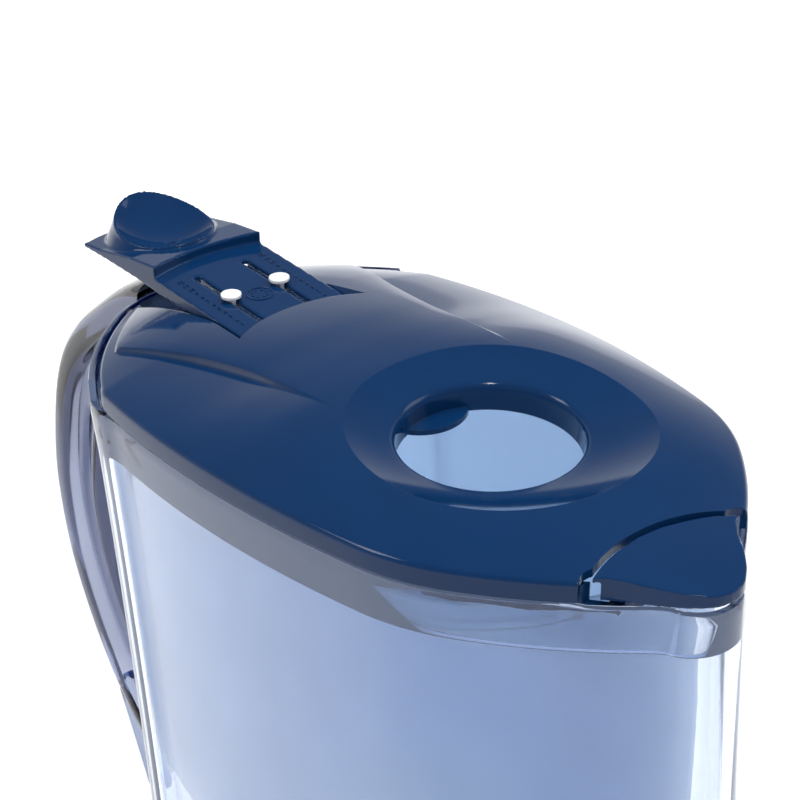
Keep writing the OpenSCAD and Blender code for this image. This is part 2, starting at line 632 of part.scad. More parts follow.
module thumb_tongue() {
    color("midnightblue")
    difference() {
        union() {
            intersection() {
                side_profile(concat(raised(tongue_top, 0), raised(tongue_under, 0)), 2 * tongue_hw);
                translate([-116, 0, rim_h - 40]) cylinder(r = 45, h = 80, $fn = 120);
            }
            scoop_pedestal();
        }
        // round front end, against the crest
        translate([crest_c, 0, rim_h - 60]) cylinder(r = crest_r, h = 90, $fn = 120);
        // room above the plate
        on_plate(step_x) cylinder(r = step_r, h = 30, $fn = 160);
        // open channel underneath
        side_profile(concat(raised([[-78, -4.8 - plate_t], [-82, -4.8 - plate_t], [-119, -7.35 - plate_t],
                                    [-133.6, -9.6], [-149, -13.0]], 0),
                            raised([[-149, -20], [-78, -20]], 0)), 2 * tongue_hw - 3);
        for (s = [-1, 1]) {
            on_plate(slot_span[0] + slot_w / 2, s * slot_y - slot_w / 2)
                translate([0, 0, -8]) cube([slot_span[1] - slot_span[0] - slot_w, slot_w, 10]);
            for (x = [slot_span[0] + slot_w / 2, slot_span[1] - slot_w / 2])
                on_plate(x, s * slot_y) translate([0, 0, -8]) cylinder(r = slot_w / 2, h = 10, $fn = 32);
        }
        translate([scoop_x, 0, rim_h - scoop_deep + scoop_sphere]) sphere(r = scoop_sphere, $fn = 96);
    }
}

// Date slider: a disc on two legs that snap through the slot
slider_d = 5.3;
slider_x = -17;
module slider(y) {
    color("white")
    on_plate(slider_x, y) {
        translate([0, 0, 1]) cylinder(r = slider_d / 2, h = 0.7, $fn = 48);
        for (s = [-1, 1]) {
            translate([s * 0.9 - 0.35, -0.55, -2.6]) cube([0.7, 1.1, 3.7]);
            translate([s * 0.9 - 0.35, -1.3, -2.6]) cube([0.7, 2.6, 0.6]);
        }
    }
}
module slider_near() { slider(-slot_y); }
module slider_far() { slider(slot_y); }

// ---- spout flap ----
flap_skin = 1.3;
flap_top_r = 300;    // slight crown of its top
flap_top_z = rim_h + 8.6;
// Half width of the flap from its corner to its nose, [x, half width]
flap_side = [[63.15, 20.1], [63.7, 19.2], [65, 17.9], [67, 16.5], [69, 15.1], [71.7, 13.6], [74.5, 11.9],
             [78.2, 9.3], [80.2, 7.6], [82.5, 5.2], [83.9, 2.7], [84.3, 0]];
// Lower edge of the skirt in side view, [x, z] from the rim height
flap_hem = [[50, -0.3], [90, 6.3]];

module flap_plan() {
    polygon(concat(
        [for (i = [-8:8]) let (a = 180 + 31.6 * i / 8) [flap_c + flap_rear_r * cos(a), -flap_rear_r * sin(a)]],
        flap_side, [for (i = [len(flap_side) - 2:-1:0]) [flap_side[i][0], -flap_side[i][1]]]));
}

module under_crown(drop) {
    translate([70, 0, flap_top_z - flap_top_r]) sphere(r = flap_top_r - drop, $fn = 360);
}

module spout_flap() {
    color("midnightblue") {
        difference() {
            intersection() {
                translate([0, 0, rim_h]) linear_extrude(20) flap_plan();
                under_crown(0);
            }
            // hollow under the skin, open at the rear and at the corners
            intersection() {
                union() {
                    translate([0, 0, rim_h - 1]) linear_extrude(20) offset(delta = -flap_skin) flap_plan();
                    translate([50, -30, rim_h - 1]) cube([13.9, 60, 20]);
                }
                under_crown(flap_skin);
            }
            side_profile(concat(raised(flap_hem, 0), raised([[90, -10], [50, -10]], 0)), 60);
        }
        for (s = [-1, 1])
            translate([hinge[0], s * 15.5, hinge[1]]) {
                rotate([90, 0, 0]) cylinder(r = lug_r, h = 2, center = true, $fn = 48);
                translate([-lug_r, -1, 0]) cube([2 * lug_r, 2, 2.3]);
                rotate([90 * s, 0, 0]) cylinder(r = pin_r, h = 3.6, $fn = 48);
            }
    }
}

jug_shell();
handle_frame();
hopper();
hopper_pan();
hopper_socket();
cartridge_body();
cartridge_cap();
cartridge_pull();
cartridge_seal();
cartridge_foot();
upper_screen();
lower_screen();
carbon_bed();
resin_bed();
lid_shell();
lid_seat();
thumb_tongue();
slider_near();
slider_far();
spout_flap();
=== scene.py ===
"""Water filter pitcher with a flip lid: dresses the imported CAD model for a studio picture.

Lengths are in millimetres until mesh_object() turns them into metres. +X points to the
spout, -X to the handle, +Z up, as in the CAD model, whose formulas for the rim, the plan
outline and the lid's dome are repeated here with closer stations.
"""
from math import acos, cos, exp, hypot, pi, radians, sin, sqrt, tan

import bmesh
import bpy
from mathutils import Matrix, Vector

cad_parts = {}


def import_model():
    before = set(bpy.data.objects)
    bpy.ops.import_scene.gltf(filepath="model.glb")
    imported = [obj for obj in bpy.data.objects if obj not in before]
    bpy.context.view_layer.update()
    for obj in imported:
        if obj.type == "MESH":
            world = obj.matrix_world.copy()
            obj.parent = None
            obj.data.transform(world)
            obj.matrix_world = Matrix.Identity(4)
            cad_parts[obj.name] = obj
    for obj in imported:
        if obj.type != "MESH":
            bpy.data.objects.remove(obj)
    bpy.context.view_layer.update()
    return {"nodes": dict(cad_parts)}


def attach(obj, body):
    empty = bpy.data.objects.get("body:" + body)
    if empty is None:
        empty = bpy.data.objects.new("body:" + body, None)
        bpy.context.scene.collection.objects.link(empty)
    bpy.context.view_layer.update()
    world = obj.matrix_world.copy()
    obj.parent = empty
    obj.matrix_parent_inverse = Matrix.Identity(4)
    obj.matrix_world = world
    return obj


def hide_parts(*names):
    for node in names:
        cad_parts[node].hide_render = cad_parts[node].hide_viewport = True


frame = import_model()

MM = 0.001


# ---------------------------------------------------------------- meshes
def mesh_object(name, points, faces, sharp=35):
    """Mesh from points in millimetres, smooth except where faces meet above an angle."""
    mesh = bpy.data.meshes.new(name)
    mesh.from_pydata([[c * MM for c in p] for p in points], [], faces)
    obj = bpy.data.objects.new(name, mesh)
    bpy.context.collection.objects.link(obj)
    smooth_by_angle(obj, sharp)
    return obj


def smooth_by_angle(obj, sharp=35):
    """Weld the mesh and shade it smooth, except at edges above an angle."""
    work = bmesh.new()
    work.from_mesh(obj.data)
    bmesh.ops.remove_doubles(work, verts=work.verts, dist=0.002 * MM)
    bmesh.ops.dissolve_degenerate(work, edges=work.edges, dist=0.001 * MM)
    bmesh.ops.recalc_face_normals(work, faces=work.faces)
    for face in work.faces:
        face.smooth = True
    for edge in work.edges:
        edge.smooth = len(edge.link_faces) == 2 and edge.calc_face_angle(0) < radians(sharp)
    work.to_mesh(obj.data)
    work.free()


def loft(name, rings, band=False, sharp=35):
    """Closed solid through rings; with band set, each ring runs along a band and back."""
    n, last = len(rings[0]), (len(rings) - 1) * len(rings[0])
    points = [p for ring in rings for p in ring]
    faces = [(i * n + j, i * n + (j + 1) % n, (i + 1) * n + (j + 1) % n, (i + 1) * n + j)
             for i in range(len(rings) - 1) for j in range(n)]
    if band:
        for base in (0, last):
            faces += [(base + j, base + j + 1, base + n - 2 - j, base + n - 1 - j)
                      for j in range(n // 2 - 1)]
    else:
        faces += [tuple(range(n)), tuple(last + j for j in range(n))]
    return mesh_object(name, points, faces, sharp)


def turned(name, profile, steps=128, sharp=35, at=(0, 0)):
    """Solid turned about an upright axis from a closed profile of (radius, height)."""
    n = len(profile)
    points = [(at[0] + r * cos(2 * pi * i / steps), at[1] + r * sin(2 * pi * i / steps), z)
              for i in range(steps) for r, z in profile]
    faces = [(i * n + j, i * n + (j + 1) % n,
              (i + 1) % steps * n + (j + 1) % n, (i + 1) % steps * n + j)
             for i in range(steps) for j in range(n)]
    return mesh_object(name, points, faces, sharp)


def between_ends(name, points):
    """Prism whose points are its two ends, one after the other."""
    n = len(points) // 2
    faces = [(j, (j + 1) % n, n + (j + 1) % n, n + j) for j in range(n)]
    return mesh_object(name, points, faces + [tuple(range(n)), tuple(range(n, 2 * n))])


def prism(name, outline, low, high):
    """Upright prism on a plan outline."""
    return between_ends(name, [(x, y, z) for z in (low, high) for x, y in outline])


def side_prism(name, outline, half, centre=0):
    """Prism on an outline (x, z) in side view, to both sides of a middle plane."""
    return between_ends(name, [(x, centre + y, z) for y in (-half, half) for x, z in outline])


def evaluated_mesh(obj):
    graph = bpy.context.evaluated_depsgraph_get()
    return bpy.data.meshes.new_from_object(obj.evaluated_get(graph))


def apply_modifiers(obj):
    done = evaluated_mesh(obj)
    obj.modifiers.clear()
    obj.data = done


def moulded(obj, grain, rounds=3):
    """Remesh a solid finely and relax it, which rounds its edges as a mould does."""
    remesh = obj.modifiers.new("remesh", "REMESH")
    remesh.mode, remesh.voxel_size = "VOXEL", grain * MM
    relax = obj.modifiers.new("relax", "SMOOTH")
    relax.factor, relax.iterations = 0.5, rounds
    apply_modifiers(obj)
    smooth_by_angle(obj, 180)
    return obj


def disc(x, y, r, steps=96):
    """Round outline about a point."""
    turns = (2 * pi * i / steps for i in range(steps))
    return [(x + r * cos(a), y + r * sin(a)) for a in turns]


def carve(obj, tool, operation="DIFFERENCE", sharp=35):
    """Apply an exact boolean to a mesh and remove the tool."""
    cut = obj.modifiers.new("cut", "BOOLEAN")
    cut.object, cut.operation, cut.solver = tool, operation, "EXACT"
    apply_modifiers(obj)
    bpy.data.objects.remove(tool)
    smooth_by_angle(obj, sharp)
    return obj


# ---------------------------------------------------------------- the CAD model's formulas
RIM_H = 250
RIM_R, RIM_CX = 1969, 260.4
RIM_CZ = RIM_H - sqrt(RIM_R**2 - RIM_CX**2)
FIT = 0.35


def rim_z(x):
    """Height of the lid's rim line, an arc in side view."""
    return RIM_CZ + sqrt(RIM_R**2 - (x - RIM_CX)**2)


REAR_JOIN, FLANK_JOIN, SIDE_JOIN, SPOUT_JOIN = -132, -92, 28, 68
SIDE_SOFT = 12    # half the length of the blended corner at SIDE_JOIN
SIDE_R, SIDE_X, SIDE_Y = 320, -37, 265
FLANK_R, FLANK_X = 113, -45.7
SPOUT_R, SPOUT_X = 143, -37.7


def arc_w(x, centre, r):
    """Half width of a circle at x."""
    return sqrt(max(0, r * r - (x - centre)**2))


FLANK_Y = arc_w(FLANK_JOIN, FLANK_X, FLANK_R) - arc_w(FLANK_JOIN, SIDE_X, SIDE_R) + SIDE_Y
SPOUT_Y = arc_w(SIDE_JOIN, SPOUT_X, SPOUT_R) - arc_w(SIDE_JOIN, SIDE_X, SIDE_R) + SIDE_Y
JOIN_W = arc_w(REAR_JOIN, FLANK_X, FLANK_R) - FLANK_Y
REAR_C = REAR_JOIN + (FLANK_X - REAR_JOIN) * JOIN_W / (JOIN_W + FLANK_Y)
REAR_R = JOIN_W * FLANK_R / (JOIN_W + FLANK_Y)
BACK_X = REAR_C - REAR_R


def nose(beak):
    """Centre, radius and end angle of the nose arc with the beak pulled out."""
    return 60.5 + 13.6 * beak, 17.3 - 7.9 * beak, radians(51.3 - 34.8 * beak)


def hermite(u, p0, m0, p1, m1):
    """Cubic from p0 to p1 with end slopes m0 and m1, for u from 0 to 1."""
    return ((2 * u**3 - 3 * u**2 + 1) * p0 + (u**3 - 2 * u**2 + u) * m0
            + (3 * u**2 - 2 * u**3) * p1 + (u**3 - u**2) * m1)


def corner_w(t):
    """Half width across the blended corner, from its start."""
    span, a, b = 2 * SIDE_SOFT, SIDE_JOIN - SIDE_SOFT, SIDE_JOIN + SIDE_SOFT
    wa, wb = arc_w(a, SIDE_X, SIDE_R), arc_w(b, SPOUT_X, SPOUT_R)
    return hermite(t / span, wa - SIDE_Y, span * (SIDE_X - a) / wa,
                   wb - SPOUT_Y, span * (SPOUT_X - b) / wb)


def half_w(x, beak=0):
    """Half width of the plan outline at x."""
    if x < REAR_JOIN:
        return arc_w(x, REAR_C, REAR_R)
    if x < FLANK_JOIN:
        return arc_w(x, FLANK_X, FLANK_R) - FLANK_Y
    if x < SIDE_JOIN - SIDE_SOFT:
        return arc_w(x, SIDE_X, SIDE_R) - SIDE_Y
    if x < SIDE_JOIN + SIDE_SOFT:
        return corner_w(x - SIDE_JOIN + SIDE_SOFT)
    if x < SPOUT_JOIN:
        return arc_w(x, SPOUT_X, SPOUT_R) - SPOUT_Y
    centre, r, a = nose(beak)
    nose_x = centre + r * sin(a)
    if x >= nose_x:
        return arc_w(x, centre, r)
    span, w = nose_x - SPOUT_JOIN, arc_w(SPOUT_JOIN, SPOUT_X, SPOUT_R)
    return hermite((x - SPOUT_JOIN) / span, w - SPOUT_Y, span * (SPOUT_X - SPOUT_JOIN) / w,
                   r * cos(a), -span * tan(a))


def half_outline(beak=0, pitch=2.5):
    """Half outline from the rear to the nose, as (x, half width)."""
    end = pi / 2 - acos(JOIN_W / REAR_R)
    centre, r, a = nose(beak)
    nose_x = centre + r * sin(a)
    rear = [(REAR_C - REAR_R * cos(end * i / 12), REAR_R * sin(end * i / 12)) for i in range(12)]
    steps = round((SPOUT_JOIN - REAR_JOIN) / pitch)
    middle = [REAR_JOIN + (SPOUT_JOIN - REAR_JOIN) * i / steps for i in range(steps)]
    beak_x = [SPOUT_JOIN + (nose_x - SPOUT_JOIN) * i / 8 for i in range(8)]
    arc = [(pi / 2 - a) * (1 - i / 14) for i in range(15)]
    return (rear + [(x, half_w(x, beak)) for x in middle + beak_x]
            + [(centre + r * cos(t), r * sin(t)) for t in arc])


def closed(half):
    """Whole outline from the near half."""
    return half + [(x, -y) for x, y in half[-2:0:-1]]


def smoothstep(u):
    u = min(1, max(0, u))
    return u * u * (3 - 2 * u)


LIP_START, LIP_RAMP = -84, 18


def grown(ring, d, more=0):
    """Ring with every point moved outwards; "more" is added behind the sides."""
    n, out = len(ring), []
    for i, (x, y) in enumerate(ring):
        ahead, behind = ring[(i + 1) % n], ring[i - 1]
        dx, dy = ahead[0] - behind[0], ahead[1] - behind[1]
        far, size = d + more * smoothstep((LIP_START - x) / LIP_RAMP), hypot(dx, dy)
        out.append((x - far * dy / size, y + far * dx / size))
    return out


def smooth(x, table):
    """Smooth value between stations (x, value)."""
    last = len(table) - 1
    i = next((k for k in range(last) if x < table[k + 1][0]), last - 1)

    def slope(k):
        a, b = table[max(0, k - 1)], table[min(last, k + 1)]
        return (b[1] - a[1]) / (b[0] - a[0])

    h = table[i + 1][0] - table[i][0]
    return hermite((x - table[i][0]) / h, table[i][1], slope(i) * h,
                   table[i + 1][1], slope(i + 1) * h)


# ---------------------------------------------------------------- materials
def srgb(r, g, b):
    """Linear colour of an sRGB triple from 0 to 255."""
    def linear(c):
        return c / 255 / 12.92 if c < 10.3 else ((c / 255 + 0.055) / 1.055)**2.4

    return linear(r), linear(g), linear(b), 1


class Nodes:
    """A node tree with short calls for adding and joining nodes."""

    def __init__(self, tree):
        self.tree = tree
        tree.nodes.clear()

    def add(self, kind, **values):
        node = self.tree.nodes.new(kind)
        for key, value in values.items():
            if key in node.inputs:
                self.put(node.inputs[key], value)
            else:
                setattr(node, key, value)
        return node

    def put(self, socket, value):
        if isinstance(value, bpy.types.NodeSocket):
            self.tree.links.new(value, socket)
        else:
            socket.default_value = value

    def noise(self, scale, detail=3):
        where = self.add("ShaderNodeTexCoord").outputs["Object"]
        noise = self.add("ShaderNodeTexNoise", Vector=where, Scale=scale, Detail=detail)
        return noise.outputs["Fac"]

    def ramp(self, factor, low, high, start=0.3, stop=0.7):
        node = self.add("ShaderNodeValToRGB", Fac=factor)
        ends = node.color_ramp.elements
        ends[0].position, ends[1].position = start, stop
        ends[0].color, ends[1].color = low, high
        return node.outputs["Color"]

    def level(self, factor, low, high, start=0.0, stop=1.0):
        node = self.add("ShaderNodeMapRange", Value=factor, **{
            "From Min": start, "From Max": stop, "To Min": low, "To Max": high})
        return node.outputs["Result"]

    def maths(self, operation, a, b=0.0):
        node = self.add("ShaderNodeMath", operation=operation)
        self.put(node.inputs[0], a)
        self.put(node.inputs[1], b)
        return node.outputs["Value"]

    def mixed(self, factor, a, b):
        node = self.add("ShaderNodeMix", data_type="RGBA")
        self.put(node.inputs["Factor"], factor)
        self.put(node.inputs[6], a)
        self.put(node.inputs[7], b)
        return node.outputs[2]


def shade(value, k):
    """Colour made k times as bright."""
    return tuple(c * k for c in value[:3]) + (1,)


def material(name, colour, rough=0.3, vary=0.06, scale=90, bump=0.01, edge=0.0, **more):
    """Moulded plastic: faint mottle in colour and gloss, a fine surface and soft edges."""
    mat = bpy.data.materials.new(name)
    mat.use_nodes = True
    t = Nodes(mat.node_tree)
    wide, fine = t.noise(scale), t.noise(scale * 14, 2)
    relief = t.add("ShaderNodeBump", Strength=bump, Distance=0.2 * MM, Height=fine)
    if edge:
        bevel = t.add("ShaderNodeBevel", samples=4, Radius=edge * MM)
        t.put(relief.inputs["Normal"], bevel.outputs["Normal"])
    shader = t.add("ShaderNodeBsdfPrincipled", Roughness=t.level(wide, rough * 0.85, rough * 1.15),
                   Normal=relief.outputs["Normal"], **more)
    mottle = t.ramp(wide, shade(colour, 1 - vary), shade(colour, 1 + vary))
    t.put(shader.inputs["Base Color"], mottle)
    out = t.add("ShaderNodeOutputMaterial", Surface=shader.outputs["BSDF"])
    return mat, t, shader, out


# rays that have crossed many walls go straight on, or they would end in black; their colour is
# darkened by painted shade that stands in for the light the further walls would turn away, as in
# the dark band under the lid's edge
DEEP_RAY, DEEP_PAINTED_SHADE = 5.5, srgb(160, 178, 214)


def see_through(name, colour, rough, clear, shadow, depth=None):
    """Clear moulded plastic that lets the lamps' light through its walls."""
    mat, t, shader, out = material(name, colour, rough, vary=0.02, scale=40, bump=0,
                                   **{"Transmission Weight": clear, "IOR": 1.49})
    if depth:
        smoke = t.add("ShaderNodeVolumeAbsorption", Color=depth[0], Density=depth[1])
        t.put(out.inputs["Volume"], smoke.outputs["Volume"])
    path = t.add("ShaderNodeLightPath")
    through = t.maths("MAXIMUM", path.outputs["Is Shadow Ray"], path.outputs["Is Diffuse Ray"])
    deep = t.maths("GREATER_THAN", path.outputs["Ray Depth"], DEEP_RAY)
    through = t.maths("MAXIMUM", through, deep)
    # past DEEP_RAY the transparent colour carries painted shade, darker and bluer than the plastic
    pass_colour_or_painted_shade = t.mixed(deep, shadow, tuple(a * b for a, b in zip(shadow, DEEP_PAINTED_SHADE)))
    plain = t.add("ShaderNodeBsdfTransparent", Color=pass_colour_or_painted_shade)
    mix = t.add("ShaderNodeMixShader", Fac=through)
    t.put(mix.inputs[1], shader.outputs["BSDF"])
    t.put(mix.inputs[2], plain.outputs["BSDF"])
    t.put(out.inputs["Surface"], mix.outputs["Shader"])
    return mat


NAVY = material("navy_gloss", srgb(10, 47, 88), 0.1, vary=0.04, scale=60, bump=0.006, edge=0.3,
                **{"Specular IOR Level": 0.24})[0]
NAVY_HANDLE = see_through("navy_handle", srgb(236, 239, 246), 0.03, 1.0, srgb(120, 130, 160),
                          (srgb(66, 94, 150), 105))
CLEAR = see_through("clear_plastic", srgb(236, 242, 250), 0.02, 1.0, srgb(240, 244, 250))
PALE_BLUE = see_through("pale_blue_plastic", srgb(186, 213, 243), 0.3, 0.68, srgb(236, 245, 252))
WHITE = material("white_plastic", srgb(236, 237, 236), 0.35, vary=0.02, edge=0.2)[0]
SLIDER = material("slider_white", srgb(240, 241, 242), 0.3, vary=0.02, edge=0.2)[0]
RUBBER = material("seal_rubber", srgb(70, 72, 76), 0.6, vary=0.08)[0]
FELT = material("felt", srgb(214, 212, 206), 0.9, vary=0.1, scale=500, bump=0.3)[0]
CARBON = material("carbon", srgb(30, 30, 33), 0.7, vary=0.5, scale=900, bump=0.8)[0]
RESIN = material("resin", srgb(205, 160, 92), 0.5, vary=0.25, scale=900, bump=0.6)[0]


def dress(obj, mat):
    obj.data.materials.clear()
    obj.data.materials.append(mat)


# the CAD nodes that stay visible
for node, mat in {"cartridge_body": WHITE, "cartridge_cap": WHITE, "cartridge_pull": WHITE,
                  "cartridge_foot": WHITE, "cartridge_seal": RUBBER, "upper_screen": FELT,
                  "lower_screen": FELT, "carbon_bed": CARBON, "resin_bed": RESIN, "lid_seat": NAVY,
                  "slider_near": SLIDER, "slider_far": SLIDER, "hopper_socket": PALE_BLUE}.items():
    for slot in frame["nodes"][node].material_slots:
        slot.material = mat


def place(obj, mat, body, slot, *nodes):
    """Dress a piece, ride it on its body, and let it stand for its CAD nodes."""
    dress(obj, mat)
    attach(obj, body)
    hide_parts(*nodes)


# ---------------------------------------------------------------- jug
JUG_WALL, RIM_WALL = 2.9, 1.9
LEDGE_DROP, FLOOR_T = 17.9, 3
REAR_LIP, LIP_FROM = 3.2, -102
RIM_DROP = 5.4

# the clear bracket under the handle, in side view
RIB = [(-96, 9), (-118, 10), (-138, 18), (-150, 28), (-158, 38.5), (-166.5, 54.5), (-175, 70),
       (-170, 80), (-150, 75), (-138, 62), (-124, 68), (-112, 84), (-96, 84)]
RIB_HALF = 4.5


def lean(f):
    """How far the jug leans to the spout at a fraction of its height."""
    return 16 * (1 - f * f)


def taper(f):
    """How much narrower the jug is on each side than at its rim."""
    return 7.5 * (1 - f)


def beak_at(f):
    """How much of the spout's beak is left below the rim."""
    return exp(-(max(0, 1 - f) / 0.14)**1.5)


def rim_cut(x):
    """How far below the rim curve the jug's edge lies: deeper where the lid covers it."""
    if x < LIP_FROM:
        return 0.2
    return RIM_DROP + 0.7 * smoothstep((x - 60) / 0.8)


def jug_ring(f, inset, drop=0, low=0, cut=None):
    """Ring at a fraction of the height; with cut given, it follows the edge under the lid."""
    g = f - drop / RIM_H
    ring = []
    for x, y in grown(closed(half_outline(beak_at(g))), -taper(g) - inset, REAR_LIP):
        deep = drop if cut is None else rim_cut(x) + cut
        ring.append((x + lean(g), y, low + f * (rim_z(x) - low) - deep))
    return ring


def jug():
    foot = [jug_ring(0, 4), jug_ring(0.0008, 2.9), jug_ring(0.003, 1.8), jug_ring(0.007, 0.8),
            jug_ring(0.012, 0.2), jug_ring(0.018, 0)]
    up = [0.04 + 0.88 * i / 30 for i in range(31)]
    top = [jug_ring(1, 0, RIM_DROP, cut=3), jug_ring(1, 0, RIM_DROP, cut=0.5),
           jug_ring(1, 0.15, RIM_DROP, cut=0.15), jug_ring(1, 0.5, RIM_DROP, cut=0),
           jug_ring(1, RIM_WALL - 0.5, RIM_DROP, cut=0),
           jug_ring(1, RIM_WALL - 0.15, RIM_DROP, cut=0.15),
           jug_ring(1, RIM_WALL, RIM_DROP, cut=0.5), jug_ring(1, RIM_WALL, LEDGE_DROP - 0.3),
           jug_ring(1, RIM_WALL + 0.2, LEDGE_DROP), jug_ring(1, JUG_WALL - 0.2, LEDGE_DROP),
           jug_ring(1, JUG_WALL, LEDGE_DROP + 0.2)]
    room = [jug_ring(0.03, JUG_WALL), jug_ring(0.022, JUG_WALL + 0.6),
            jug_ring(0.017, JUG_WALL + 1.5), jug_ring(0.006, JUG_WALL + 3, 0, FLOOR_T),
            jug_ring(0, JUG_WALL + 5, 0, FLOOR_T)]
    skin = loft("jug", foot + [jug_ring(f, 0) for f in up] + top
                + [jug_ring(f, JUG_WALL) for f in reversed(up)] + room)
    bracket = side_prism("bracket", RIB, RIB_HALF)
    carve(bracket, loft("room", [jug_ring(f, JUG_WALL / 2) for f in (0.012, 0.2, 0.42)]))
    return carve(skin, bracket, "UNION")


place(jug(), CLEAR, "jug", "clear_plastic", "jug_shell")

# ---------------------------------------------------------------- handle
HANDLE_LINE = [(-129, 232), (-140, 230), (-154, 222.6), (-168.6, 210.3), (-180, 199),
               (-188.6, 186.5), (-194, 171.5), (-196.8, 152), (-196.4, 136), (-192, 117.2),
               (-184, 100.5), (-172.5, 84.6), (-160, 74), (-148, 67)]
GRIP_DEPTH, GRIP_WIDTH = 27, 22
# half section of the bar: depth from its outer face, half width as a part of GRIP_WIDTH
BAR = [(0, 0), (0.1, 0.12), (0.5, 0.28), (1.2, 0.37), (2.2, 0.44), (3.4, 0.48), (5, 0.5),
       (7.6, 0.5), (8.6, 0.495), (9.5, 0.475), (10.2, 0.43), (10.6, 0.38), (11.2, 0.34),
       (12.2, 0.325), (14, 0.32), (GRIP_DEPTH - 7.6, 0.32), (GRIP_DEPTH - 6.9, 0.335),
       (GRIP_DEPTH - 6.2, 0.38), (GRIP_DEPTH - 5.4, 0.42), (GRIP_DEPTH - 4, 0.44),
       (GRIP_DEPTH - 2.4, 0.42), (GRIP_DEPTH - 1, 0.36), (GRIP_DEPTH - 0.3, 0.27),
       (GRIP_DEPTH, 0.16)]


def spline(points, steps):
    """Catmull-Rom line through points."""
    out, last = [], len(points) - 1
    for i in range(last):
        a, b, c, d = (points[k] for k in (max(0, i - 1), i, i + 1, min(last, i + 2)))
        for s in range(steps):
            u = s / steps
            out.append(tuple(0.5 * (2 * q + (r - p) * u + (2 * p - 5 * q + 4 * r - e) * u * u
                                    + (3 * q - p - 3 * r + e) * u**3)
                             for p, q, r, e in zip(a, b, c, d)))
    return out + [points[last]]


def handle():
    steps = 8
    path = spline(HANDLE_LINE, steps)
    n = len(path)
    ring = BAR + [(d, -w) for d, w in BAR[-1:0:-1]]
    rings = []
    for i, (x, z) in enumerate(path):
        dx, dz = (path[min(n - 1, i + 1)][k] - path[max(0, i - 1)][k] for k in (0, 1))
        size = hypot(dx, dz)
        nx, nz = -dz / size, dx / size
        at = 2 * i / steps
        deep = min(1, 0.6 + 0.1 * at, 0.5 + 0.12 * (2 * (n - 1 - i) / steps))
        rings.append([(x + nx * d * deep, -w * GRIP_WIDTH, z + nz * d * deep)
                      for d, w in ring])
    bar = loft("handle", rings)
    outside = loft("outside", [jug_ring(f, 0) for f in [0.1 + 0.05 * i for i in range(17)]]
                   + [jug_ring(1, 0), jug_ring(1.1, 0)])
    carve(bar, outside)
    return carve(bar, side_prism("slot", RIB, RIB_HALF))


place(handle(), NAVY_HANDLE, "jug", "smoke_plastic", "handle_frame")

# ---------------------------------------------------------------- hopper
COLLAR_TOP, COLLAR_LOW = 10, 17.5
HOPPER_FLOOR, HOPPER_WALL = 105, 1.6
CARTRIDGE_X, SOCKET_R = -24, 31
HOP_JOIN, HOP_R, HOP_X, HOP_Y, HOP_NOSE = 36, 70, -4.9, 15.9, 56
HOP_NOSE_W = arc_w(HOP_NOSE, HOP_X, HOP_R) - HOP_Y
HOP_C = HOP_NOSE - HOP_NOSE_W * (HOP_NOSE - HOP_X) / (HOP_NOSE_W + HOP_Y)
HOP_FRONT = HOP_C + HOP_NOSE_W * HOP_R / (HOP_NOSE_W + HOP_Y)
# inset of the wall, from its top to its floor
HOP_DEPTH = [(0, 0), (0.3, 0.1), (0.6, 0.3), (0.78, 1.3), (0.88, 3), (0.95, 5.5), (1, 9)]


def hop_half():
    """Half outline of the hopper, whose nose is rounder than the jug's."""
    body = [p for p in half_outline() if p[0] < HOP_JOIN]
    front = [(x + RIM_WALL, arc_w(x, HOP_X, HOP_R) - HOP_Y + RIM_WALL) for x in range(38, 54, 2)]
    r = HOP_FRONT - HOP_C + RIM_WALL
    return body + front + [(HOP_C + r * cos(a), r * sin(a))
                           for a in (radians(29.5) * (1 - i / 16) for i in range(17))]


def hop_ring(inset, z, level=1, narrow=0):
    """Ring of the hopper at a height; level 1 follows the rim's curve and 0 lies flat."""
    f, s = z / RIM_H, 1 - narrow / 50
    outline = [(CARTRIDGE_X + s * (x - CARTRIDGE_X), s * y) for x, y in closed(hop_half())]
    return [(x + lean(f) * (1 - smoothstep(x / 60)), y, z + level * (rim_z(x) - RIM_H))
            for x, y in grown(outline, -inset - taper(f), REAR_LIP)]


def hop_wall(inset, lift, count=24):
    """Rings of the hopper's wall, from its floor up to the collar."""
    top, rings = RIM_H - COLLAR_LOW, []
    for i in range(count + 1):
        t = 1 - (i / count)**1.4
        rings.append(hop_ring(JUG_WALL + FIT + inset, top + t * (HOPPER_FLOOR - top) + lift, 1 - t,
                              smooth(t, HOP_DEPTH)))
    return rings


def hopper():
    wall = RIM_WALL + FIT
    low, top = RIM_H - COLLAR_LOW, RIM_H - COLLAR_TOP
    skin = loft("hopper", hop_wall(0, 0)
                + [hop_ring(wall, low), hop_ring(wall, top - 0.3), hop_ring(wall + 0.3, top),
                   hop_ring(wall + HOPPER_WALL - 0.3, top),
                   hop_ring(wall + HOPPER_WALL, top - 0.3),
                   hop_ring(wall + HOPPER_WALL, low + HOPPER_WALL)]
                + hop_wall(HOPPER_WALL, HOPPER_WALL)[::-1])
    bore = prism("bore", disc(CARTRIDGE_X, 0, SOCKET_R), HOPPER_FLOOR - 24, HOPPER_FLOOR + 16)
    return carve(skin, bore)


place(hopper(), PALE_BLUE, "hopper", "pale_blue_plastic", "hopper", "hopper_pan")

# ---------------------------------------------------------------- lid
LID_WALL, BAND_H, HOLE_R, COLLAR_H = 2.2, 5, 22, 7
DISH, DISH_R = 90, 65    # radius of the dished ring's sphere, and of its cutting tool
LIP_Z = RIM_H + DISH - sqrt(DISH**2 - HOLE_R**2)
EDGE_R, LIP_R = 1.1, 2.2
COLLAR_WALL = 1.6
SPLASH_X, SPLASH_R, SPLASH_T = -28, 12, 1.4
TONGUE_HW = 16.3
CREST_C, CREST_R = -48.9, 34
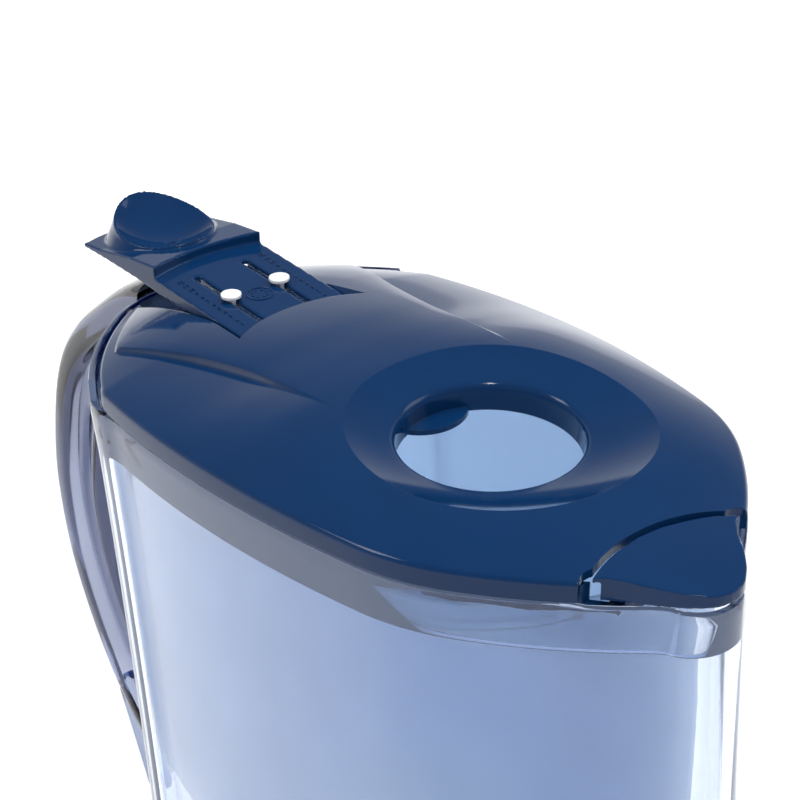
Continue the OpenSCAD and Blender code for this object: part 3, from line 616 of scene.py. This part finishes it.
# where the solid rear end and the block under the tongue stop, with a section on each side
REAR_SOLID, REAR_EDGES = 3, (2.99, 3.01)
BLOCK_END, BLOCK_EDGES = -77, (-77.01, -76.99)
# sections lie close together over the raised panel's step
STEP_OUT, STEP_IN = 0.9, 0.35
STEP_AT = (0.62, 0.45, 0.3, 0.12, -0.05, -0.25)
FLAP_C, FLAP_REAR_R, FLAP_GAP = 96.6, 39.5, 1.1
HINGE_X, HINGE_Z = 64.8, 254.8
RELIEF_Y, RELIEF_R = 20, 4.6
DOME_LINE = [(-140, 0), (-131, 0.9), (-118, 3.4), (-105, 4.9), (-90, 5.6), (-75, 6.3), (-60, 7.4),
             (-45, 9.4), (-30, 10.9), (-12, 10.3), (8, 8.4), (38, 5.4), (57, 2.2), (70, 1)]
STEP_LINE = [(-140, 1.6), (-131, 2), (-118, 2.4), (-105, 2.9), (-90, 3.7), (-76, 4.3), (-62, 4.1),
             (-46, 2.2), (-32, 0.4), (-24, 0), (-10, 0), (70, 0)]
PANEL_LINE = [(-140, 42), (-131, 40), (-112, 37), (-92, 32.5), (-79, 29.5), (-61, 27), (-46, 26.4),
              (-28, 25.5), (0, 25), (70, 25)]


def edge_fall(x, y, w):
    """How far the rounded top edge lies below the dome, from the distance to the outline."""
    if x < REAR_JOIN:
        d = REAR_R - hypot(x - REAR_C, y)
    else:
        slope = (half_w(x + 0.05) - half_w(x - 0.05)) / 0.1
        d = (w - abs(y)) / sqrt(1 + slope * slope)
    return EDGE_R - sqrt(max(0, EDGE_R**2 - max(0, EDGE_R - d)**2))


def dome_h(x, y, w):
    return smooth(x, DOME_LINE) * (1 - (min(abs(y), w) / w)**3)


def step_h(x, y, p):
    """Height of the raised panel's step, a smooth ramp about the panel's edge."""
    crown = 1 - 0.5 * min(1, abs(y) / p)**2
    return max(0, smooth(x, STEP_LINE)) * crown * (1 - smoothstep((abs(y) - p + 0.3) / 0.9))


def panel_w(x, w):
    return min(smooth(x, PANEL_LINE), max(w - 5, w * 0.5))


def lid_top(x, y, w):
    """Height of the lid's top; w is the half width at x, here and below."""
    return rim_z(x) + dome_h(x, y, w) + step_h(x, y, panel_w(x, w)) - edge_fall(x, y, w)


def lid_under(x, y, w):
    d = x * x + y * y
    top = rim_z(x) + dome_h(x, y, w) + step_h(x, y, panel_w(x, w))
    return min(top, RIM_H + DISH - sqrt(DISH**2 - d) if d < 50**2 else top) - LID_WALL


def lid_section(x):
    """Ring across the lid at x, over the top from side to side and back underneath."""
    w = half_w(x)
    p = panel_w(x, w)
    edge = min(EDGE_R, 0.3 * w)
    outer = w - edge * 1.3
    ys = [w - edge * k for k in (0, 0.04, 0.14, 0.3, 0.5, 0.75, 1)]
    if outer > p + 1:
        ys += [outer + (p + STEP_OUT - outer) * smoothstep(k / 9) for k in range(10)]
    else:
        ys += [outer + (p + STEP_OUT - outer) * k / 9 for k in range(10)]
    if p > 3:
        ys += [p + k for k in STEP_AT]
        ys += [(p - STEP_IN) * (1 - k / 9) for k in range(9)]
    else:
        ys += [p * (1 - k / 40) for k in range(6)]
        ys += [p * 0.8 * (1 - k / 9) for k in range(9)]
    inner_w, base = max(w - LID_WALL, w * 0.6), rim_z(x) - BAND_H + 0.3
    block = min(TONGUE_HW + 2.1, inner_w * 0.8)
    full = x < BACK_X + REAR_SOLID
    wide = [inner_w + (block - inner_w) * k / 8 for k in range(9)]
    narrow = (block - 0.05, block * 0.6, block * 0.25)
    ins = [(y, base if full else lid_under(x, y, w)) for y in wide]
    ins += [(y, base if full or x < BLOCK_END else lid_under(x, y, w)) for y in narrow]
    low = rim_z(x) - BAND_H
    top = [(y, lid_top(x, y, w)) for y in ys]
    near = [(-w, low)] + [(-y, z) for y, z in top] + [(0, lid_top(x, 0, w))]
    far = [(y, z) for y, z in reversed(top)] + [(w, low)]
    back = ([(inner_w, low)] + ins + [(0, ins[-1][1])]
            + [(-y, z) for y, z in reversed(ins)] + [(-inner_w, low)])
    return [(x, y, z) for y, z in near + far + back]


def lid_stations():
    """Where the lid's sections lie along X."""
    a_end = pi / 2 - acos(JOIN_W / REAR_R)
    xs = [REAR_C - REAR_R * cos(a_end * i / 14) for i in range(1, 15)]
    xs += [REAR_JOIN + 1.6 * i for i in range(1, 124)]
    xs = [x for x in xs if x < 66] + [66]
    xs = [x for x in xs if abs(x - BLOCK_END) > 0.5] + list(BLOCK_EDGES)
    return sorted([x for x in xs if abs(x - BACK_X - REAR_SOLID) > 0.3]
                  + [BACK_X + d for d in REAR_EDGES])


def dish_profile():
    """Profile of one turned tool: the hole, its rounded lip and the dished ring."""
    sphere_z, meet = RIM_H + DISH, HOLE_R + LIP_R
    centre_z = sphere_z - sqrt((DISH + LIP_R)**2 - meet * meet)
    lip = [pi + (-(pi / 2) + HOLE_R / DISH) * i / 8 for i in range(9)]
    return ([(0, RIM_H - 20), (HOLE_R, RIM_H - 20)]
            + [(meet + LIP_R * cos(a), centre_z + LIP_R * sin(a)) for a in lip]
            + [(r, sphere_z - sqrt(DISH**2 - r * r)) for r in range(26, DISH_R + 1, 2)]
            + [(DISH_R, RIM_H + 60), (0, RIM_H + 60)])


def tongue_pocket():
    """Tool for the pocket that the tongue lies in, ended by the crest's arc."""
    half = TONGUE_HW + FIT
    section = [(-half, -50), (half, -50), (half, -6.3),
               (half + 6, 3.4), (-half - 6, 3.4), (-half, -6.3)]
    pocket = loft("pocket", [[(x, y, RIM_H + z) for y, z in section] for x in (-160, -60)])
    return carve(pocket, prism("front", disc(CREST_C, 0, CREST_R), 180, 290))


def lid():
    shell = loft("lid", [lid_section(x) for x in lid_stations()], band=True, sharp=28)
    low = LIP_Z - COLLAR_H
    carve(shell, prism("tube", disc(0, 0, HOLE_R + COLLAR_WALL), low, LIP_Z + 0.2), "UNION", 28)
    carve(shell, turned("dish", dish_profile(), 192), sharp=28)
    # splash lip at the rear of the collar, added once the hole is cut
    splash = prism("splash", disc(0, 0, HOLE_R + COLLAR_WALL / 2), low, low + SPLASH_T)
    end = prism("splash_end", disc(SPLASH_X, 0, SPLASH_R), low - 1, low + 3)
    carve(shell, carve(splash, end, "INTERSECT"), "UNION", 28)
    carve(shell, tongue_pocket(), sharp=28)
    notch = disc(FLAP_C, 0, FLAP_REAR_R + FLAP_GAP, 160)
    carve(shell, prism("notch", notch, 230, 300), sharp=28)
    for s in (-1, 1):
        relief = disc(HINGE_X, s * RELIEF_Y, RELIEF_R)
        carve(shell, prism("relief", relief, 230, 300), sharp=28)
    return shell


place(lid(), NAVY, "lid", "navy_gloss", "lid_shell")

# ---------------------------------------------------------------- calendar tongue
PLATE_X, PLATE_Z, PLATE_TILT, PLATE_T = -82, RIM_H - 4.8, radians(3.97), 1.6
SLOT_FROM, SLOT_TO, SLOT_Y, SLOT_W = -34.1, -2.5, 7.3, 1.7
STEP_R, STEP_X = 45, 2.5
GUIDE_OFF, GUIDE_HALF, GUIDE_LOW = 1.9, 0.4, -3.9
TONGUE_TOP = [(-79.5, -4.6), (-82, -4.2), (-100, -4.2), (-121.4, -4.2), (-133.6, -7),
              (-149.4, -11.9), (-161.5, -14.6)]
TONGUE_UNDER = [(-161.5, -15.2), (-146.4, -13.4), (-129.7, -11.8), (-119.3, -11.4),
                (-110.9, -10.4), (-103, -9.4), (-95, -9.4), (-82, -8), (-79.5, -7.6)]
TAIL_X, TAIL_R = -116, 45
SCOOP_X, SCOOP_L, SCOOP_W = -143, 30.4, 23
SCOOP_SPHERE, SCOOP_DEEP = 20.6, 10.9


def on_plate(obj):
    """Move a mesh built about the origin on to the tilted calendar plate."""
    at = Vector((PLATE_X, 0, PLATE_Z)) * MM
    obj.data.transform(Matrix.Translation(at) @ Matrix.Rotation(-PLATE_TILT, 4, "Y"))
    return obj


def scoop_ring(centre, a, b, z, slope):
    """Tilted ellipse of the pedestal under the scoop."""
    return [(centre + a * cos(t), b * sin(t), RIM_H + z + slope * a * cos(t))
            for t in (-2 * pi * i / 96 for i in range(96))]


def ball(name, at, r, rings=48):
    arc = (pi * i / rings for i in range(rings + 1))
    return turned(name, [(r * sin(a), at[2] - r * cos(a)) for a in arc], 96, at=at[:2])


def tongue():
    raised = [(x, RIM_H + z) for x, z in TONGUE_TOP + TONGUE_UNDER]
    body = side_prism("tongue", raised, TONGUE_HW)
    tail = prism("tail", disc(TAIL_X, 0, TAIL_R, 160), RIM_H - 40, RIM_H + 40)
    carve(body, tail, "INTERSECT")
    half_l, half_b = SCOOP_L / 2, SCOOP_W / 2
    pedestal = [(-1.2, 2.4, 3.4, -11, 0.26), (-0.95, 1.6, 2.2, -9.2, 0.16),
                (-0.7, 1, 1.2, -7.6, 0.08), (-0.3, 0.4, 0.5, -5, 0.03), (0, 0, 0, -1.5, 0)]
    carve(body, loft("pedestal", [scoop_ring(SCOOP_X + c, half_l + a, half_b + b, z, slope)
                                  for c, a, b, z, slope in pedestal]), "UNION")
    carve(body, prism("crest", disc(CREST_C, 0, CREST_R, 160), RIM_H - 60, RIM_H + 30))
    carve(body, on_plate(prism("step", disc(STEP_X, 0, STEP_R, 200), 0, 30)))
    channel = [(-78, -4.8 - PLATE_T), (-82, -4.8 - PLATE_T), (-119, -7.35 - PLATE_T),
               (-133.6, -9.6), (-149, -13.0), (-149, -20), (-78, -20)]
    channel = [(x, RIM_H + z) for x, z in channel]
    carve(body, side_prism("channel", channel, TONGUE_HW - 1.5))
    # guides for the sliders' feet, on both sides of each slot
    for y in (s * SLOT_Y + k * GUIDE_OFF for s in (-1, 1) for k in (-1, 1)):
        x0, x1, y0, y1 = SLOT_FROM - 1, SLOT_TO + 1, y - GUIDE_HALF, y + GUIDE_HALF
        guide = [(x0, y0), (x1, y0), (x1, y1), (x0, y1)]
        carve(body, on_plate(prism("guide", guide, GUIDE_LOW, -1)), "UNION")
    r = SLOT_W / 2
    arc = [pi / 2 + pi * i / 16 for i in range(17)]
    for s in (-1, 1):
        ends = [(SLOT_FROM + r + r * cos(a), r * sin(a)) for a in arc]
        ends += [(SLOT_TO - r - r * cos(a), -r * sin(a)) for a in arc]
        carve(body, on_plate(prism("slot", [(x, y + s * SLOT_Y) for x, y in ends], -8, 2)))
    carve(body, ball("scoop", (SCOOP_X, 0, RIM_H - SCOOP_DEEP + SCOOP_SPHERE), SCOOP_SPHERE))
    return moulded(body, 0.36, 4)


place(tongue(), NAVY, "lid", "navy_gloss", "thumb_tongue")


MARK_H, DIGIT_SIZE, DIGIT_Y, DIGIT_PITCH = 0.2, 1.9, 12.4, 2.65
RING_X, RING_IN, RING_OUT = -15, 3.2, 3.6
DOTS, DOTS_R, DOT_R = 8, 2, 0.28


def marks():
    """Raised numbers along the slots, and a ring with dots between them."""
    work = bmesh.new()

    def add(obj, matrix):
        mesh = evaluated_mesh(obj)
        mesh.transform(matrix)
        work.from_mesh(mesh)
        bpy.data.objects.remove(obj)

    facing = Matrix.Rotation(pi / 2, 4, "Z")
    for side in (-1, 1):
        for k in range(12):
            text = bpy.data.curves.new("digit", "FONT")
            text.body, text.size, text.extrude = str(k + 1), DIGIT_SIZE * MM, MARK_H * MM
            text.align_x, text.align_y, text.resolution_u = "CENTER", "CENTER", 2
            obj = bpy.data.objects.new("digit", text)
            bpy.context.collection.objects.link(obj)
            x = SLOT_TO - 1.5 - DIGIT_PITCH * k
            add(obj, Matrix.Translation(Vector((x, side * DIGIT_Y, 0)) * MM) @ facing)
    ring = [(RING_IN, -MARK_H), (RING_OUT, -MARK_H), (RING_OUT, MARK_H), (RING_IN, MARK_H)]
    add(turned("ring", ring, 48, at=(RING_X, 0)), Matrix())
    for k in range(DOTS):
        a = 2 * pi * k / DOTS
        dot = disc(RING_X + DOTS_R * cos(a), DOTS_R * sin(a), DOT_R, 12)
        add(prism("dot", dot, -MARK_H, MARK_H), Matrix())
    mesh = bpy.data.meshes.new("calendar_marks")
    work.to_mesh(mesh)
    work.free()
    obj = bpy.data.objects.new("calendar_marks", mesh)
    bpy.context.collection.objects.link(obj)
    dress(obj, NAVY)
    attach(on_plate(obj), "lid")


marks()

# ---------------------------------------------------------------- spout flap
FLAP_SKIN = 1.3
FLAP_TOP_R, FLAP_TOP_Z = 300, RIM_H + 8.6
FLAP_SIDE = [(63.15, 20.1), (63.7, 19.2), (65, 17.9), (67, 16.5), (69, 15.1), (71.7, 13.6),
             (74.5, 11.9), (78.2, 9.3), (80.2, 7.6), (82.5, 5.2), (83.9, 2.7), (84.3, 0)]
PIN_R, PIN_Y = 1.0, 11.9
LUG_R, LUG_Y, LUG_UP = 1.9, 15.5, 2.3


def over_crown(drop):
    """Everything above the flap's crowned top, lowered by a drop."""
    low = FLAP_TOP_Z - FLAP_TOP_R
    rise = [(r, low + sqrt((FLAP_TOP_R - drop)**2 - r * r)) for r in range(0, 46, 3)]
    return turned("crown", rise + [(45, RIM_H + 60), (0, RIM_H + 60)], 128, at=(70, 0))


def rod(x, z, r, y0, y1):
    return side_prism("rod", disc(x, z, r, 32), (y1 - y0) / 2, (y0 + y1) / 2)


def flap():
    side = spline(FLAP_SIDE, 4)
    rear = [(FLAP_C + FLAP_REAR_R * cos(a), -FLAP_REAR_R * sin(a))
            for a in (pi + radians(31.6) * i / 24 for i in range(-24, 25))]
    plan = rear[:-1] + side + [(x, -y) for x, y in side[-2:0:-1]]
    body = carve(prism("flap", plan, RIM_H, RIM_H + 20), over_crown(0))
    # the room under its skin, and the open rear
    rear_end = [(50, -30), (63.9, -30), (63.9, 30), (50, 30)]
    for name, outline in (("room", grown(plan, -FLAP_SKIN)), ("back", rear_end)):
        room = prism(name, outline, RIM_H - 1, RIM_H + 19)
        carve(body, carve(room, over_crown(FLAP_SKIN)))
    hem = [(50, RIM_H - 0.3), (90, RIM_H + 6.3), (90, RIM_H - 10), (50, RIM_H - 10)]
    carve(body, side_prism("hem", hem, 30))
    moulded(body, 0.3, 3)
    x0, x1, z1 = HINGE_X - LUG_R, HINGE_X + LUG_R, HINGE_Z + LUG_UP
    for s in (-1, 1):
        y = s * LUG_Y
        carve(body, rod(HINGE_X, HINGE_Z, LUG_R, y - 1, y + 1), "UNION")
        lug = [(x0, HINGE_Z), (x1, HINGE_Z), (x1, z1), (x0, z1)]
        carve(body, side_prism("lug", lug, 1, y), "UNION")
        carve(body, rod(HINGE_X, HINGE_Z, PIN_R, *sorted((y, s * PIN_Y))), "UNION")
    return body


place(flap(), NAVY, "flap", "navy_gloss", "spout_flap")

# ---------------------------------------------------------------- camera, floor and light
CAMERA_FROM, CAMERA_TO = Vector((458.28, -353.15, 630.85)) * MM, Vector((-28.04, -5.53, 250)) * MM
LENS_PX, PHOTO_PX = 3000, 800

camera = bpy.data.objects.new("camera", bpy.data.cameras.new("camera"))
bpy.context.collection.objects.link(camera)
camera.location = CAMERA_FROM
camera.rotation_euler = (CAMERA_TO - CAMERA_FROM).to_track_quat("-Z", "Y").to_euler()
camera.data.sensor_width = 36
camera.data.lens = 36 * LENS_PX / PHOTO_PX
camera.data.clip_start = 0.01
bpy.context.scene.camera = camera
bpy.context.scene.view_settings.view_transform = "Standard"


FLOOR_HALF = 4000


def floor():
    corners = [(-1, -1), (1, -1), (1, 1), (-1, 1)]
    obj = mesh_object("floor", [(x * FLOOR_HALF, y * FLOOR_HALF, 0) for x, y in corners],
                      [(0, 1, 2, 3)])
    mat = bpy.data.materials.new("floor")
    mat.use_nodes = True
    t = Nodes(mat.node_tree)
    path = t.add("ShaderNodeLightPath")
    seen = t.maths("ADD", path.outputs["Is Camera Ray"],
                   t.maths("ADD", path.outputs["Is Glossy Ray"],
                           path.outputs["Is Transmission Ray"]))
    where = t.add("ShaderNodeTexCoord").outputs["Object"]
    away = t.add("ShaderNodeVectorMath", operation="LENGTH", Vector=where).outputs["Value"]
    # the backdrop stays white far from the lamps, and the shadow shows near the object
    glow = t.level(away, 0.3, 1.0, 0.3, 1.2)
    shader = t.add("ShaderNodeBsdfPrincipled", Roughness=0.9, **{
        "Base Color": t.ramp(t.noise(3), (0.80, 0.80, 0.80, 1), (0.82, 0.82, 0.82, 1)),
        "Specular IOR Level": 0.1, "Emission Color": (1, 1, 1, 1),
        "Emission Strength": t.maths("MULTIPLY", seen, glow)})
    t.add("ShaderNodeOutputMaterial", Surface=shader.outputs["BSDF"])
    dress(obj, mat)


def lamp(name, place_at, aim, size, power, mirrored=True):
    data = bpy.data.lights.new(name, "AREA")
    data.shape, data.size, data.size_y, data.energy = "RECTANGLE", size[0], size[1], power
    obj = bpy.data.objects.new(name, data)
    bpy.context.collection.objects.link(obj)
    obj.location = place_at
    obj.visible_glossy = mirrored
    obj.rotation_euler = (Vector(aim) - Vector(place_at)).to_track_quat("-Z", "Y").to_euler()


def world():
    bpy.context.scene.world = bpy.data.worlds.new("studio")
    bpy.context.scene.world.use_nodes = True
    t = Nodes(bpy.context.scene.world.node_tree)
    where = t.add("ShaderNodeTexCoord").outputs["Generated"]
    up = t.add("ShaderNodeSeparateXYZ", Vector=where).outputs["Z"]
    colour = t.ramp(up, (0.75, 0.76, 0.78, 1), (0.24, 0.25, 0.28, 1), 0.02, 0.4)
    path = t.add("ShaderNodeLightPath")
    seen = t.maths("MAXIMUM", path.outputs["Is Camera Ray"], path.outputs["Is Transmission Ray"])
    back = t.add("ShaderNodeBackground", Color=t.mixed(seen, colour, (1, 1, 1, 1)), Strength=1.0)
    t.add("ShaderNodeOutputWorld", Surface=back.outputs["Background"])


floor()
world()
lamp("top", (0.0, 0.2, 1.7), (0, 0, 0.2), (1.6, 1.6), 19, mirrored=False)
lamp("spark", (0.46, -0.33, 1.45), (0, 0, 0.25), (0.15, 0.15), 5)
lamp("left", (-0.9, -1.0, 1.3), (0, 0, 0.15), (0.5, 0.5), 6)
lamp("right", (0.6, 1.3, 1.1), (0, 0, 0.15), (0.8, 0.8), 5)
